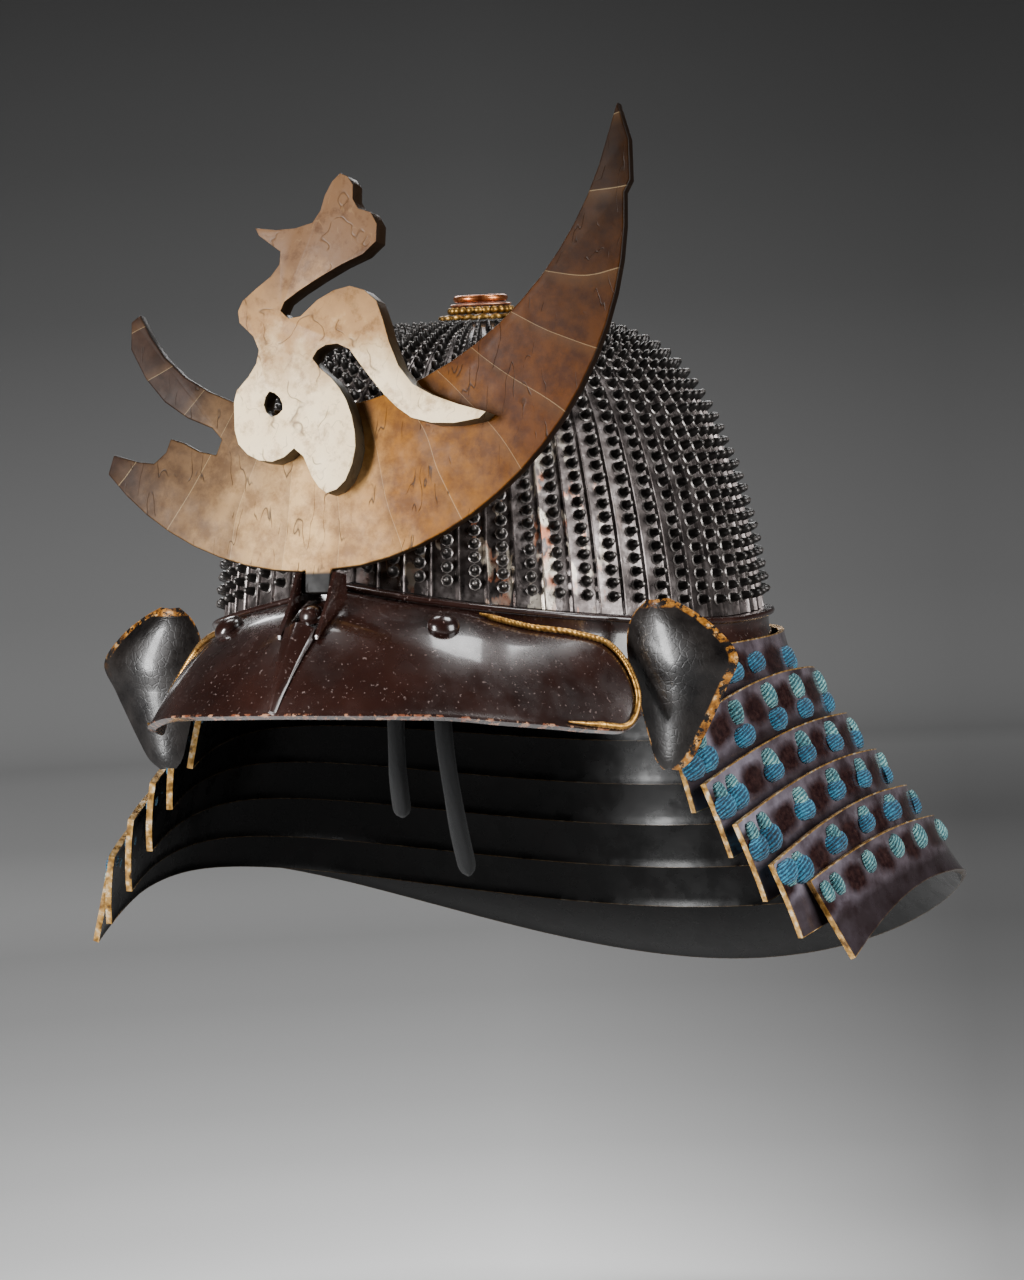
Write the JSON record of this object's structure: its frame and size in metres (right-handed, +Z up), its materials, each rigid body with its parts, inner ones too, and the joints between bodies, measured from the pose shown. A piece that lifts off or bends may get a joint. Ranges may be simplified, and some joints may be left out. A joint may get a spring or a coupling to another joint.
{
  "type": "kabuto samurai helmet",
  "caption": "Riveted samurai helmet with a peak, a carved crescent crest, turned-back ears and a laced neck guard of flared lames",
  "frame": {"origin": "middle of the bowl's mouth, in the plane of its rim, where the helmet sits on the head", "axes": "+Z up, the brow looks along -Y, +X is the wearer's left"},
  "size_m": [0.3378, 0.3756, 0.3538],
  "materials": {
    "iron_plates": "black-brown lacquered iron, worn, half gloss",
    "brown_lacquer": "dark red-brown urushi lacquer on iron, glossy, chipped at the edges",
    "lame_lacquer": "purple-brown urushi lacquer on rawhide, half gloss",
    "black_leather": "black lacquered leather, fine cracks, glossy",
    "gilt_edge": "gilt copper rope, worn",
    "copper": "copper, polished by handling",
    "gilt_copper": "gilt copper, chased",
    "crescent_gilt": "aged gold leaf over gesso on wood, cracked",
    "figure_gilt": "worn pale gesso and leaf on carved wood, cracked",
    "blue_silk": "teal-blue silk braid",
    "navy_cloth": "dark navy cotton cord"
  },
  "bodies": {
    "helmet": {"bowl": "iron_plates", "brow_band": "brown_lacquer", "neck_lame_1": "lame_lacquer", "neck_lame_2": "lame_lacquer", "neck_lame_3": "lame_lacquer", "neck_lame_4": "lame_lacquer", "neck_lame_5": "lame_lacquer", "neck_lame_6": "lame_lacquer", "lacing_2": "blue_silk", "lacing_3": "blue_silk", "lacing_4": "blue_silk", "lacing_5": "blue_silk", "lacing_6": "blue_silk", "peak": "brown_lacquer", "peak_rivet_left": "brown_lacquer", "peak_rivet_right": "brown_lacquer", "crest_holder": "brown_lacquer", "holder_rivet": "brown_lacquer", "crown_base": "gilt_copper", "crown_beads": "gilt_copper", "crown_rim": "copper", "crown_tube": "copper", "turn_back_left": "black_leather", "turn_back_right": "black_leather", "peak_edging_left": "gilt_edge", "peak_edging_right": "gilt_edge", "tie_cord_short": "navy_cloth", "tie_cord_long": "navy_cloth"},
    "crest": {"crest_crescent": "crescent_gilt", "crest_figure": "figure_gilt"}
  },
  "joints": [
    {"name": "crest_lift", "type": "slide", "parent": "helmet", "child": "crest", "axis": [0, 0.2079, 0.9781], "range_m": [0, 0.03]}
  ]
}
